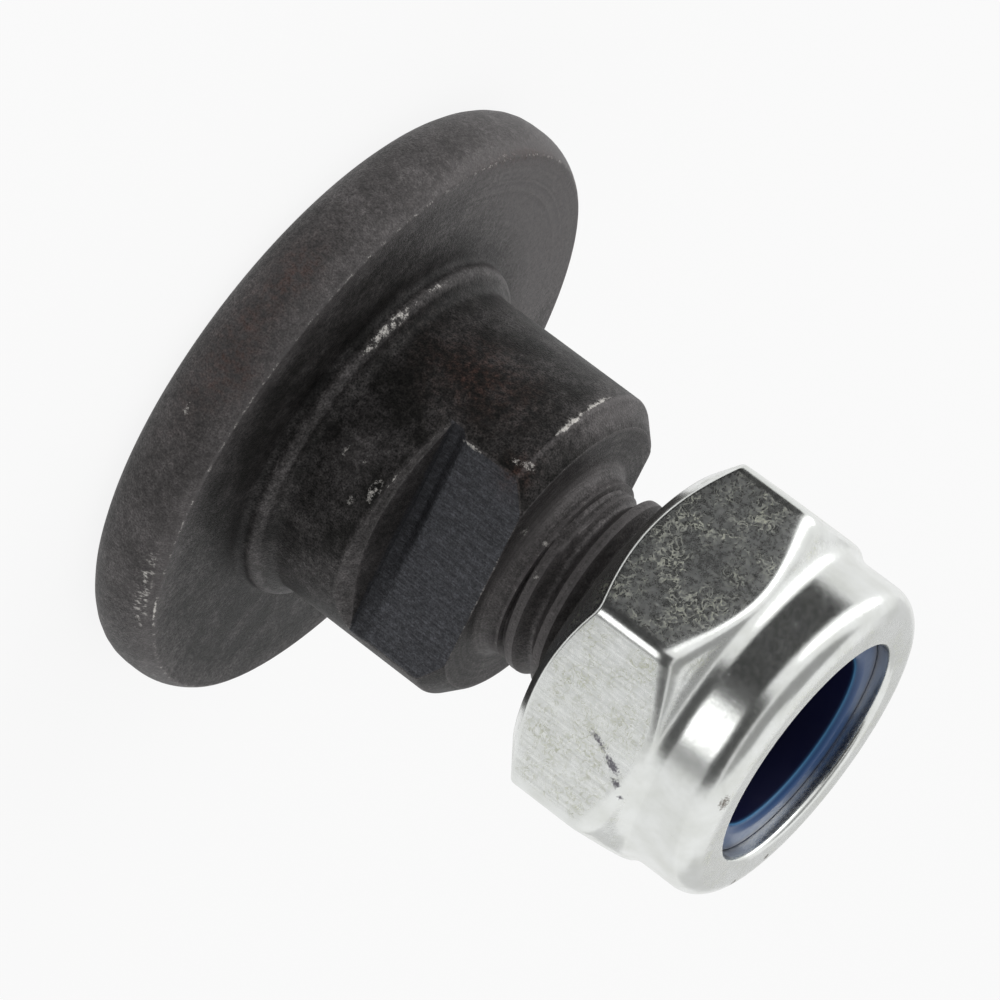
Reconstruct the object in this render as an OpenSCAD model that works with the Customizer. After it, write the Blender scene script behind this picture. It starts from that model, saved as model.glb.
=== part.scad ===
// Mower blade bolt with its lock nut, standing on its head.
// +Z runs up the bolt's axis, from the head's outer face to the nut's mouth.
// The origin is the centre of the head's outer face, and the shank's flats face +X and -X.

/* [Head] */
// Widest diameter of the head
head_d = 30; // [26:0.5:36]
// Thickness of the head
head_t = 4; // [3.5:0.1:6]
// Diameter of the crisp edge round the seating face
seat_edge_d = 28.8; // [24.5:0.1:29]
// Depth of the widest line below the seating face
widest_drop = 1.6; // [1.2:0.1:2]
// Radius of the outer face's rounded edge
back_round_r = 1.9; // [1:0.1:1.9]

/* [Root ring] */
// Diameter of the raised ring at the shank's foot
root_ring_d = 17.7; // [17:0.1:20]
// Height of the raised ring
root_ring_h = 0.9; // [0.5:0.1:1.2]
// Rounding of the ring's outer edge
root_ring_round = 0.4; // [0.2:0.05:0.4]

/* [Shank] */
// Diameter of the shank that fills the blade's eye
shank_d = 16; // [15:0.1:16.6]
// Length of the shank above the seating face
shank_len = 10.4; // [9:0.1:12]
// Bevel at the shank's end
shank_bevel = 0.95; // [0.5:0.05:1.2]

/* [Flats] */
// Distance across the two flats that stop the bolt from turning
across_flats = 11.4; // [10.8:0.1:13]
// Height of the flats' wall above the seating face, at the shank's surface
wall_rim_z = 5.3; // [4:0.1:6]
// How far the wall leans towards the nut on its way down to the flat
wall_lean = 0.35; // [0:0.05:1]
// Radius of the relief groove at the wall's foot
relief_r = 0.5; // [0.3:0.05:0.6]
// Depth of the relief groove below the flat
relief_depth = 0.25; // [0.1:0.05:0.25]

/* [Stem] */
// Diameter of the plain neck between shank and thread
neck_d = 9.4; // [9.2:0.1:9.8]
// Fillet between the shank's end and the neck
neck_fillet = 0.7; // [0.3:0.1:1]
// Length of the neck above the shank's end
neck_len = 1.4; // [1.1:0.1:1.5]
// Nominal thread diameter
thread_d = 10; // [9.8:0.1:10]
// Thread pitch
thread_pitch = 1.5; // [1.25:0.25:1.5]
// Length of neck and thread above the shank's end
stem_len = 10.8; // [9:0.1:11]
// Bevel at the thread's end
stem_bevel = 0.9; // [0.5:0.1:1.2]

/* [Lock nut] */
// Distance across the nut's flats
nut_across_flats = 17; // [16.7:0.1:17.2]
// Height of the nut
nut_h = 10.2; // [9.9:0.1:11]
// Gap between the shank's end and the nut
nut_gap = 4.6; // [3.2:0.1:5]
// Turn of the nut's first corner from +X, in degrees
nut_turn = 31; // [0:0.5:60]
// Radius of the bearing face, inside the bevelled corners
bearing_r = 7.9; // [7.6:0.1:8.3]
// Angle of the bevel that trims the corners at the bearing face, in degrees
bearing_bevel_angle = 38; // [25:1:42]
// Angle of the bevel that trims the corners next to the collar, in degrees
collar_bevel_angle = 30; // [22:1:34]
// Height above the bearing face where the corners end
corner_top = 5.45; // [5:0.05:6]
// Radius of the collar round the ring
collar_r = 8.12; // [7.9:0.02:8.3]
// Fillet between the bevelled hexagon and the collar
collar_fillet = 1.4; // [0.8:0.1:1.6]
// Radius of the rolled lip
lip_round = 1.35; // [1.2:0.05:1.6]
// Radius of the mouth inside the lip
mouth_r = 5.75; // [5.5:0.05:6]
// Width of the bevel between the lip's end and the mouth
mouth_bevel_w = 0.3; // [0.1:0.05:0.4]
// Height of the bevel between the lip's end and the mouth
mouth_bevel_h = 0.25; // [0.1:0.05:0.3]
// Radius of the countersink at the bearing face
countersink_r = 5.35; // [5.1:0.05:5.6]

/* [Nylon ring] */
// Outer radius of the ring's seat inside the collar
ring_seat_r = 6.85; // [6.6:0.05:6.95]
// Height of the ring's seat above the bearing face
ring_seat_z = 6.3; // [6:0.1:6.5]
// Thickness of the ring
ring_t = 2.8; // [2.4:0.1:2.9]
// Rounding of the ring's inner edges
ring_round = 0.3; // [0.1:0.05:0.4]

/* [Hidden] */

steel_colour = "#3a3a3e";
zinc_colour = "#c3c6ca";
nylon_colour = "#23406b";

// Room between a bore and the plain stem that runs in it
running_gap = 0.04;
// Room between the ring and its seat
seat_gap = 0.02;
// How far a cutter reaches past what it cuts
over = 1;
// Steps along each arc of a turned outline
arc_steps = 8;

head_r = head_d / 2;
seat_edge_r = seat_edge_d / 2;
shank_r = shank_d / 2;
neck_r = neck_d / 2;
flat_x = across_flats / 2;
shank_top = head_t + shank_len;
neck_top = shank_top + neck_len;
stem_top = shank_top + stem_len;
// A metric thread's pitch diameter is this many pitches less than its nominal diameter
pitch_d_drop = 0.6495;
// A plain stem at the pitch diameter holds about as much steel as the thread does
stem_r = (thread_d - pitch_d_drop * thread_pitch) / 2;
nut_bore_r = stem_r + running_gap;
nut_z = shank_top + nut_gap;
corner_r = nut_across_flats / 2 / cos(30);
// The rim's upper arc passes through the crisp edge and is upright at the widest line
rim_step = head_r - seat_edge_r;
rim_arc_r = (pow(rim_step, 2) + pow(widest_drop, 2)) / (2 * rim_step);
rim_arc_angle = asin(widest_drop / rim_arc_r);

// Points of an arc about [cx, cz], from angle a0 to angle a1
function arc(cx, cz, r, a0, a1) =
    [for (i = [0 : arc_steps]) let (a = a0 + (a1 - a0) * i / arc_steps) [cx + r * cos(a), cz + r * sin(a)]];

// Half section of head, root ring, shank, neck and stem, turned from one forging
module bolt_section() {
    widest_z = head_t - widest_drop;
    ring_top = head_t + root_ring_h;
    ring_r = root_ring_d / 2;
    polygon(concat(
        [[0, 0]],
        arc(head_r - back_round_r, back_round_r, back_round_r, -90, 0),
        arc(head_r - rim_arc_r, widest_z, rim_arc_r, 0, rim_arc_angle),
        [[ring_r, head_t]],
        arc(ring_r - root_ring_round, ring_top - root_ring_round, root_ring_round, 0, 90),
        [
            [shank_r, ring_top],
            [shank_r, shank_top - shank_bevel],
            [shank_r - shank_bevel, shank_top]
        ],
        arc(neck_r + neck_fillet, shank_top + neck_fillet, neck_fillet, 270, 180),
        [
            [neck_r, neck_top],
            [stem_r, neck_top + neck_r - stem_r],
            [stem_r, stem_top - stem_bevel],
            [stem_r - stem_bevel, stem_top],
            [0, stem_top]
        ]
    ));
}

// What is pressed away above one flat: a leaning wall, a relief groove and the flat itself
module flat_cutter() {
    wall_z = head_t + wall_rim_z;
    depth = shank_r - flat_x;
    foot_z = wall_z + wall_lean;
    out_x = shank_r + over;
    out_z = wall_z - wall_lean * over / depth;
    rotate([90, 0, 0]) {
        linear_extrude(height = 2 * out_x, center = true)
            polygon([
                [flat_x, foot_z],
                [out_x, out_z],
                [out_x, shank_top + over],
                [flat_x, shank_top + over]
            ]);
        translate([flat_x + relief_r - relief_depth, foot_z + relief_r, 0])
            cylinder(r = relief_r, h = 2 * out_x, center = true, $fn = 48);
    }
}

// Head, root ring, shank with its two flats, neck and stem, forged in one piece
module blade_bolt() {
    color(steel_colour)
        difference() {
            rotate_extrude($fn = 128) bolt_section();
            difference() {
                union() {
                    flat_cutter();
                    rotate([0, 0, 180]) flat_cutter();
                }
                cylinder(r = neck_r + neck_fillet, h = stem_top + over, $fn = 96);
            }
        }
}

// Turned outline that trims the hexagon's corners at both ends and blends it into the collar
module hexagon_envelope() {
    out_r = corner_r + over;
    low_slope = tan(bearing_bevel_angle);
    high_slope = tan(collar_bevel_angle);
    // The upper bevel runs into the fillet without a crease
    fillet_r = collar_r + collar_fillet * (1 - sin(collar_bevel_angle));
    fillet_z = corner_top + (corner_r - fillet_r) * high_slope;
    collar_start = fillet_z + collar_fillet * cos(collar_bevel_angle);
    polygon(concat(
        [
            [0, 0],
            [bearing_r, 0],
            [out_r, (out_r - bearing_r) * low_slope],
            [out_r, corner_top - over * high_slope]
        ],
        arc(collar_r + collar_fillet, collar_start, collar_fillet, 270 - collar_bevel_angle, 180),
        [[0, collar_start]]
    ));
}

// Half section of the collar and of the lip that is rolled in over the ring
module collar_section() {
    lip_edge_r = collar_r - lip_round;
    lip_edge_z = nut_h - mouth_bevel_h;
    polygon(concat(
        [[0, ring_seat_z], [collar_r, ring_seat_z]],
        arc(lip_edge_r, nut_h - lip_round, lip_round, 0, 90),
        [
            [mouth_r + mouth_bevel_w, nut_h],
            [mouth_r, lip_edge_z],
            [0, lip_edge_z]
        ]
    ));
}

// Half section of everything hollow in the nut: countersink, bore, ring seat and mouth
module nut_hollow() {
    countersink_z = countersink_r - nut_bore_r;
    seat_top = ring_seat_z + ring_t + seat_gap;
    polygon([
        [0, -over],
        [countersink_r + over, -over],
        [nut_bore_r, countersink_z],
        [nut_bore_r, ring_seat_z],
        [ring_seat_r, ring_seat_z],
        [ring_seat_r, seat_top],
        [mouth_r, seat_top],
        [mouth_r, nut_h + over],
        [0, nut_h + over]
    ]);
}

// Hexagonal lock nut with a round collar, its lip rolled in over the nylon ring
module lock_nut() {
    color(zinc_colour)
        translate([0, 0, nut_z])
            difference() {
                union() {
                    intersection() {
                        rotate([0, 0, nut_turn]) cylinder(r = corner_r, h = nut_h, $fn = 6);
                        rotate_extrude($fn = 128) hexagon_envelope();
                    }
                    rotate_extrude($fn = 128) collar_section();
                }
                rotate_extrude($fn = 128) nut_hollow();
            }
}

// Nylon ring held under the lip, which grips the thread as the nut is run down
module nylon_ring() {
    outer_r = ring_seat_r - seat_gap;
    inner_r = nut_bore_r;
    mid_r = inner_r + ring_round;
    color(nylon_colour)
        translate([0, 0, nut_z + ring_seat_z])
            rotate_extrude($fn = 128)
                polygon(concat(
                    [[outer_r, 0], [outer_r, ring_t]],
                    arc(mid_r, ring_t - ring_round, ring_round, 90, 180),
                    arc(mid_r, ring_round, ring_round, 180, 270)
                ));
}

blade_bolt();
lock_nut();
nylon_ring();
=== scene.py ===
"""Mower blade bolt with its lock nut, standing on its head.

A forged bolt in worn black oxide, a bright zinc-plated nut and the navy nylon ring that grips the thread.
The shape functions work in millimetres, and each mesh is turned to metres when it is made.
"""
import math
from functools import partial
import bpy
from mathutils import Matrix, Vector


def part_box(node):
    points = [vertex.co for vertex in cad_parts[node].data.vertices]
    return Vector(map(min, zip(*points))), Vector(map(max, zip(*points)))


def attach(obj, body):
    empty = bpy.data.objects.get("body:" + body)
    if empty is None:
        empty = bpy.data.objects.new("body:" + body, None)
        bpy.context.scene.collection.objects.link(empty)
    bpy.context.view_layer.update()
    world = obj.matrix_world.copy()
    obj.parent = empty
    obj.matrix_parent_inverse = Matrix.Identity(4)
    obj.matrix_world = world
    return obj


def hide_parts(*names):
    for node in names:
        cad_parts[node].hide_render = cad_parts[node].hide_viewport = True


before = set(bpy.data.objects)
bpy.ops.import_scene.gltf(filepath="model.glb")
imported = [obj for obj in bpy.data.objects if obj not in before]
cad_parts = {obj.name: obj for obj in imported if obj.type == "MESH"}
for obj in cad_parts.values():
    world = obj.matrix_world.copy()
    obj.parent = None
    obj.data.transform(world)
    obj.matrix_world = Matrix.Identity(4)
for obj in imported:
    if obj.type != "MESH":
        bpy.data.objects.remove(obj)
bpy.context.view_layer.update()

from types import SimpleNamespace

import bmesh
import bpy
import numpy as np
from bpy.props import FloatProperty, FloatVectorProperty, PointerProperty
from bpy.types import Operator, Panel, PropertyGroup
from mathutils import Matrix, Vector

bl_info = {
    "name": "Mower blade bolt",
    "version": (1, 0, 0),
    "blender": (4, 5, 0),
    "location": "View3D > Sidebar > Bolt",
    "description": "Adds a worn mower blade bolt, its lock nut and a plain studio",
    "category": "Add Mesh",
}

MM = 0.001
FULL_TURN = 2 * math.pi

# Highest corner of the bolt's node, and lowest and highest corners of the other two, in millimetres
bolt_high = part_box("blade_bolt")[1] / MM
nut_low, nut_high = (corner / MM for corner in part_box("lock_nut"))
ring_low, ring_high = (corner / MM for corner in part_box("nylon_ring"))


def linear(hex_colour):
    """Linear RGB of an sRGB hex colour such as "2b2a2c"."""
    parts = [int(hex_colour[i:i + 2], 16) / 255 for i in (0, 2, 4)]
    return tuple(p / 12.92 if p <= 0.04045 else ((p + 0.055) / 1.055) ** 2.4 for p in parts)


def length(name, description, value_mm):
    """A length setting, given in millimetres and kept in metres."""
    return FloatProperty(
        name=name,
        description=description,
        default=value_mm * MM,
        unit="LENGTH",
        subtype="DISTANCE",
        precision=5,
    )


def colour(name, description, hex_colour):
    """A colour setting, given as sRGB hex and kept as linear RGB."""
    return FloatVectorProperty(
        name=name,
        description=description,
        default=linear(hex_colour),
        subtype="COLOR",
        size=3,
        min=0,
        max=1,
    )


class BladeBoltSettings(PropertyGroup):
    """Sizes and colours of the forged bolt"""

    head_r: length("Head radius", "Widest radius of the head", bolt_high.x)
    head_t: length("Head thickness", "From the outer face to the seating face", 4.0)
    back_round: length("Back rounding", "Rounded edge of the outer face", 1.9)
    widest_drop: length("Widest drop", "From the seating face down to the widest line", 1.6)
    edge_r: length("Edge radius", "Radius of the crisp edge round the seating face", 14.4)
    root_r: length("Root ring radius", "Radius of the raised ring at the shank's foot", 8.85)
    shank_r: length("Shank radius", "Radius of the shank that fills the blade's eye", 8.0)
    shank_top: length("Shank top", "Height of the shank's flat end", 14.4)
    shank_bevel: length("Shank bevel", "Bevel at the shank's end", 0.95)
    flat_x: length("Flat distance", "From the axis to each flat", 5.7)
    rim_z: length("Wall rim", "Height of the rim of the flats' wall", 9.3)
    foot_z: length("Wall foot", "Height of the foot of the flats' wall", 9.65)
    relief: length("Relief depth", "Depth of the groove at the wall's foot", 0.3)
    neck_r: length("Neck radius", "Radius of the plain neck under the thread", 4.68)
    neck_fillet: length("Neck fillet", "Fillet between the shank's end and the neck", 0.7)
    thread_z: length("Thread start", "Height at which the thread starts", 15.45)
    crest_r: length("Crest radius", "Radius of the thread's worn crests", 4.8)
    stem_top: length("Stem top", "Height of the thread's end", bolt_high.z)
    stem_bevel: length("Stem bevel", "Bevel at the thread's end", 0.9)
    oxide: colour("Black oxide", "The forging's blackened skin", "1f1e1d")
    # The pale colour serves both for skin thinned by handling and for painted highlight where surfaces face
    # the light
    oxide_pale_and_sheen: colour("Rubbed oxide", "Where handling has thinned the black", "5c5959")
    oxide_blue: colour("Pressed oxide", "Bluer skin of the pressed flats", "47484c")
    rust: colour("Rust", "Light rust that shows through the black", "3f2b25")
    steel: colour("Bare steel", "Steel laid bare on worn edges", "d2cfca")


class LockNutSettings(PropertyGroup):
    """Sizes and colours of the zinc-plated lock nut"""

    base_z: length("Base height", "Height of the bearing face", nut_low.z)
    nut_h: length("Nut height", "Height of the whole nut", nut_high.z - nut_low.z)
    flat_r: length("Flat distance", "From the axis to each of the six flats", 8.5)
    corner_round: length("Corner rounding", "Radius of the hexagon's worn corners", 0.8)
    corner_turn: FloatProperty(
        name="Corner turn",
        description="Angle of the first corner from +X",
        default=math.radians(31),
        unit="ROTATION",
    )
    bearing_r: length("Bearing radius", "Radius of the bearing face", 7.9)
    corner_top: length("Corner top", "Height of the corners above the bearing face", 5.45)
    collar_r: length("Collar radius", "Radius of the collar round the ring", 8.12)
    collar_fillet: length("Collar fillet", "Fillet between hexagon and collar", 1.4)
    lip_round: length("Lip rounding", "Radius of the rolled lip", 1.35)
    mouth_r: length("Mouth radius", "Radius inside the lip", 5.75)
    seat_r: length("Seat radius", "Radius of the ring's seat", 6.85)
    countersink_r: length("Countersink radius", "Radius of the countersink at the bearing face", 5.35)
    zinc: colour("Zinc", "Bright zinc plate", "e4e6e4")
    zinc_dull: colour("Dull zinc", "Scuffed and handled plate", "d8dad6")
    chromate: colour("Chromate", "Yellow-green film of the passivated plate", "d8dac8")
    stain: colour("Stain", "Brown spots where the plate is broken", "4a3a2a")
    # The nicks have no depth: this dark grey is painted shade standing for the shade inside them
    dent_shade: colour("Dent", "Shadowed metal in the nicks", "5a5760")


class NylonRingSettings(PropertyGroup):
    """Sizes and colour of the nylon ring"""

    bore_r: length("Bore radius", "Radius of the ring's bore", 4.5)
    outer_r: length("Outer radius", "Radius that fits the seat", ring_high.x)
    crown_r: length("Crown radius", "Radius of the part that the lip has pressed up into the mouth", 5.74)
    crown: length("Crown height", "How far that part stands above the ring's seat", 0.25)
    edge_round: length("Edge rounding", "Rounding of the ring's inner edge", 0.35)
    nylon: colour("Nylon", "Dyed nylon", "22497a")
    # A painted highlight along the ring's inner edge
    nylon_pale: colour("Nylon edge", "The thin inner edge, where light passes through", "5594c4")
    # Painted shade in the bore, and beside the lip where the ring lies under it
    nylon_deep: colour("Nylon bore", "The bore, where the dye looks deepest", "111436")


class StudioSettings(PropertyGroup):
    """Camera, lamp, world and floor"""

    lens: FloatProperty(name="Lens", description="Focal length in millimetres", default=234, min=1)
    key_power: FloatProperty(
        name="Key lamp",
        description="Power of the long low lamp",
        default=0.4,
        unit="POWER",
    )
    world_level: FloatProperty(name="World level", description="Light from all round", default=0.6, min=0)
    floor_glow: FloatProperty(
        name="Floor glow",
        description="Share of the floor's white that no shadow darkens",
        default=0.88,
        min=0,
        max=1,
        subtype="FACTOR",
    )


SETTINGS = {
    "blade_bolt_settings": BladeBoltSettings,
    "lock_nut_settings": LockNutSettings,
    "nylon_ring_settings": NylonRingSettings,
    "studio_settings": StudioSettings,
}


def in_mm(settings):
    """The length settings of a group, in millimetres, by name."""
    lengths = [p.identifier for p in settings.bl_rna.properties if getattr(p, "unit", "") == "LENGTH"]
    return SimpleNamespace(**{name: getattr(settings, name) / MM for name in lengths})


def smooth_step(x):
    """0 below 0 and 1 above 1, with a smooth rise between them: three x squared less two x cubed."""
    x = np.clip(x, 0, 1)
    return x * x * (3 - 2 * x)


def bell(x):
    """A bell curve of height 1: e to the power of minus x squared."""
    return np.exp(-(x**2))


def blend_min(a, b, width):
    """The lesser of a and b, rounded off where they lie within width of each other."""
    share = np.clip(0.5 + 0.5 * (b - a) / width, 0, 1)
    return a * share + b * (1 - share) - width * share * (1 - share)


def blend_max(a, b, width):
    """The greater of a and b, rounded off where they lie within width of each other."""
    return -blend_min(-a, -b, width)


def arc(centre_r, centre_z, radius, start, end, count):
    """Points on an arc: its centre plus its radius times the cosine and sine of evenly spaced degrees."""
    angle = np.radians(np.linspace(start, end, count))
    return np.stack([centre_r + radius * np.cos(angle), centre_z + radius * np.sin(angle)])


def line(r0, z0, r1, z1, count):
    """Evenly spaced points on a straight line."""
    return np.stack([np.linspace(r0, r1, count), np.linspace(z0, z1, count)])


def joined(*parts):
    """Lines and arcs, one after another, as one profile."""
    return np.concatenate(parts, axis=1)


def shares(count):
    """A column of evenly spaced shares, from 0 to 1."""
    return np.linspace(0, 1, count)[:, None]


# Points closer than this, in metres, become one
MERGE_DISTANCE = 2e-7
# Edges that turn by more than this, in degrees, stay sharp in the shading
SHARP_ANGLE = 42


def grid_points(grid):
    """Points of a grid in cylindrical coordinates: x is the radius times the cosine of the angle, y the
    radius times its sine, and z the height."""
    radius, height, angle = grid
    return np.stack([radius * np.cos(angle), radius * np.sin(angle), height], axis=-1)


def grid_mesh(name, points, material):
    """A mesh of the quads between the rows and columns of a grid of points in metres."""
    index = np.arange(points[..., 0].size).reshape(points.shape[:2])
    quads = np.stack([index[:-1, :-1], index[:-1, 1:], index[1:, 1:], index[1:, :-1]], axis=-1)
    mesh = bpy.data.meshes.new(name)
    mesh.from_pydata(points.reshape(-1, 3), [], quads.reshape(-1, 4))
    mesh.materials.append(material)
    return mesh


def linked(name, data):
    """A mesh, lamp or camera as an object at the origin, linked to the scene."""
    holder = bpy.data.objects.new(name, data)
    bpy.context.scene.collection.objects.link(holder)
    return holder


def grid_piece(name, grid, attributes, material):
    """A closed mesh from a grid in cylindrical coordinates, whose rows run along the profile and whose
    columns run round the axis. Points that fall together, such as a pole's or the seam's, become one."""
    mesh = grid_mesh(name, grid_points(grid) * MM, material)
    for key, values in attributes.items():
        layer = mesh.attributes.new(key, "FLOAT", "POINT")
        layer.data.foreach_set("value", np.ascontiguousarray(values, np.float32).ravel())
    work = bmesh.new()
    work.from_mesh(mesh)
    bmesh.ops.remove_doubles(work, verts=work.verts, dist=MERGE_DISTANCE)
    bmesh.ops.dissolve_degenerate(work, edges=work.edges, dist=MERGE_DISTANCE)
    if work.calc_volume(signed=True) < 0:
        bmesh.ops.reverse_faces(work, faces=work.faces)
    work.to_mesh(mesh)
    work.free()
    mesh.shade_smooth()
    mesh.set_sharp_from_angle(angle=math.radians(SHARP_ANGLE))
    return linked(name, mesh)


def outward_bend(grid):
    """How sharply a grid's surface bends outwards, in turns of the normal per millimetre: the change of the
    unit normal along each direction of the grid, times the step, over the step squared, and the greater of
    the two. It is negative in hollows."""
    points = grid_points(grid)
    along, across = np.gradient(points, axis=0), np.gradient(points, axis=1)
    normal = np.cross(across, along)
    normal /= np.maximum(np.linalg.norm(normal, axis=-1, keepdims=True), 1e-9)
    bends = []
    for axis, step in ((0, along), (1, across)):
        change = np.gradient(normal, axis=axis)
        bends.append((change * step).sum(-1) / np.maximum((step**2).sum(-1), 1e-4))
    return np.where(np.abs(bends[0]) > np.abs(bends[1]), bends[0], bends[1])


def spots(grid, places):
    """Soft spots on a turned surface: for each place, a bell curve of the distance round the axis times one
    of the distance in the section through it. A place is azimuth in degrees, then radius, height, reach
    round the axis and reach in the section, in mm."""
    radius, height, angle = grid
    total = np.zeros_like(height)
    for azimuth, r, z, reach_round, reach_along in places:
        away = r * np.angle(np.exp(1j * (angle - math.radians(azimuth))))
        total += bell(away / reach_round) * bell(np.hypot(radius - r, height - z) / reach_along)
    return np.clip(total, 0, 1)


# The metric thread: travel in one turn, radius of its pitch line, of the bolt's root and of the bare blank
PITCH = 1.5
PITCH_LINE_R = 4.513
ROOT_R = 4.08
BLANK_R = 4.38
FLANK_SLOPE = 1 / math.tan(math.radians(30))
# Height of the middle of a crest at one azimuth
CREST_Z = 17.3
CREST_ANGLE = math.radians(-31)
# Rows of the grid in each turn of a thread
THREAD_ROWS = 14
# Turns, counted from CREST_ANGLE on the crest at CREST_Z, where the first crest and the first root start,
# and how many turns each takes to form
CREST_START = -1.11
CREST_RUN_IN = 0.13
ROOT_START = -1.25
ROOT_RUN_IN = 0.5
# Rounding of the bolt's crests and of its roots
CREST_ROUND = 0.05
ROOT_ROUND = 0.18


def thread_turns(height, angle):
    """Turns from a crest's middle: the height in pitches less the turn round the axis."""
    return (height - CREST_Z) / PITCH - (angle - CREST_ANGLE) / FULL_TURN


def thread_flank(height, angle):
    """Radius of the thread's flanks: the pitch line, which lies a quarter of a pitch from a crest's middle,
    plus the distance from it along the axis times the slope."""
    turns = thread_turns(height, angle)
    from_crest = np.abs(turns - np.round(turns))
    return PITCH_LINE_R + (0.25 - from_crest) * PITCH * FLANK_SLOPE


def thread_heights(bottom, top, angle):
    """Heights of rows that climb with the thread: a row's height rises by one pitch in a turn, and rows lie
    a pitch over THREAD_ROWS apart. Rows past an end are held there, where they fall together."""
    start = (angle[0] - CREST_ANGLE) / FULL_TURN
    lowest = math.floor(THREAD_ROWS * ((bottom - CREST_Z) / PITCH - start - 1))
    highest = math.ceil(THREAD_ROWS * ((top - CREST_Z) / PITCH - start))
    row = np.arange(lowest, highest + 1)[:, None]
    height = CREST_Z + PITCH * ((angle - CREST_ANGLE) / FULL_TURN + row / THREAD_ROWS)
    return np.clip(height, bottom, top)


def bolt_thread(height, angle, m):
    """Radius of the bolt's thread: the flanks, cut off at the crests and filled to the roots, both a little
    rounded. Where the thread begins, crest and root fade into the blank."""
    turns = thread_turns(height, angle)
    round_axis = (angle - CREST_ANGLE) / FULL_TURN
    crest_share = smooth_step((np.round(turns) + round_axis - CREST_START) / CREST_RUN_IN)
    root_share = smooth_step((np.floor(turns) + 0.5 + round_axis - ROOT_START) / ROOT_RUN_IN)
    crest = BLANK_R + (m.crest_r - BLANK_R) * crest_share
    root = BLANK_R + (ROOT_R - BLANK_R) * root_share
    radius = blend_max(blend_min(thread_flank(height, angle), crest, CREST_ROUND), root, ROOT_ROUND)
    return np.minimum(radius, m.crest_r - m.stem_bevel + m.stem_top - height)


# Columns of the bolt's grid in each of its four zones: the two flats and the two round sides between them
ZONE_COLUMNS = 90
# How strongly those columns crowd towards the edges of the flats, from 0 to 1
EDGE_CROWDING = 0.75
# Rounding of the crisp edge round the seating face
FACE_EDGE = 0.2
# Radius of the hollow at the root ring's foot, which is also the height of the roll's middle
FOOT_HOLLOW = 0.4
# Radius of the root ring's roll, and the degrees from level at which it runs into the shank's fillet
ROOT_ROLL = 0.6
ROOT_ROLL_END = 70
# Rounding of the flats' long edges, of the edge where the shank's bevel starts, and of the edge of the end
# face, on the bevel and on the flats
FLAT_EDGE = 0.14
BEVEL_EDGE = 0.12
END_EDGE = 0.08
END_EDGE_FLAT = 0.1
# Width of the worn bevel along the rim of the flats' wall, how much squarer than an arc it is, and the share
# of its width by which it wavers
RIM_BEVEL = 0.85
RIM_SQUARENESS = 1.6
RIM_WAVER = 0.12
# Waves of that wavering: how many there are round the axis, and each one's start
WAVES = ((17, 0), (41, 1), (83, 2), (151, 4))
# How far wall rows drop on the round sides, where there is no wall
SIDE_DROP = 0.4
# Width of the relief groove's level floor, and of the soft rise from it to the flat
GROOVE_FLOOR = 0.42
GROOVE_RISE = 0.6
# Rows on the flats: step and reach of the close ones at the groove, and heights that the others span
GROOVE_STEP = 0.07
GROOVE_REACH = 1.5
FLAT_SPAN = (11.2, 13.2)
# Height of the chamfer that ends the thread
THREAD_END = 0.06


def zone_angles(half):
    """Column angles, a row for each half angle that a flat spans. Columns of a flat run from minus to plus
    that angle about its middle, those of a round side fill the rest, and both crowd towards the flat's
    edges, so that in every row a column lies on each edge."""
    step = np.arange(ZONE_COLUMNS) / ZONE_COLUMNS
    crowded = step - EDGE_CROWDING * np.sin(FULL_TURN * step) / FULL_TURN
    half = np.atleast_1d(half)[:, None]
    flat = half * (2 * crowded - 1)
    side = half + (math.pi - 2 * half) * crowded
    zones = [start + zone for start in (math.pi, FULL_TURN) for zone in (flat, side)]
    return np.concatenate([*zones, 3 * math.pi - half], axis=1)


def turned_rows(profile, half):
    """Rows that are full circles, one for each point of a profile."""
    angle = zone_angles(np.full(profile.shape[1], half))
    return [values[:, None] + 0 * angle for values in profile] + [angle]


def in_groove(z, m):
    """How far a height lies in the relief groove at the wall's foot: 1 over its level floor, and then a
    smooth fall to 0."""
    return 1 - smooth_step((z - m.foot_z - GROOVE_FLOOR) / GROOVE_RISE)


def flat_distance(z, m):
    """Distance of a flat from the axis: even, less the depth of the relief groove."""
    return m.flat_x - m.relief * in_groove(z, m)


def across_flat(angle):
    """Place across a flat, from -1 to 1: the sine of the angle from its middle."""
    return np.sin(angle) * np.sign(np.cos(angle))


def groove_share(angle):
    """How much of its full depth the relief groove has across a flat: all of it at one side, and a third
    at the other, with a smooth change between them."""
    return 0.3 + 0.7 * smooth_step(0.6 - 1.2 * across_flat(angle))


def rim_share(angle):
    """How much of its full width the rim's worn bevel has across a flat: less than half at one side, and
    nearly all at the other, with a smooth change between them."""
    return 0.4 + 0.5 * smooth_step(0.45 + 0.9 * across_flat(angle))


def unevenness(angle):
    """How a worn edge strays from its line, from about -1 to 1: the mean of sine waves round the axis."""
    return sum(np.sin(count * angle + start) for count, start in WAVES) / len(WAVES)


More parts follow.
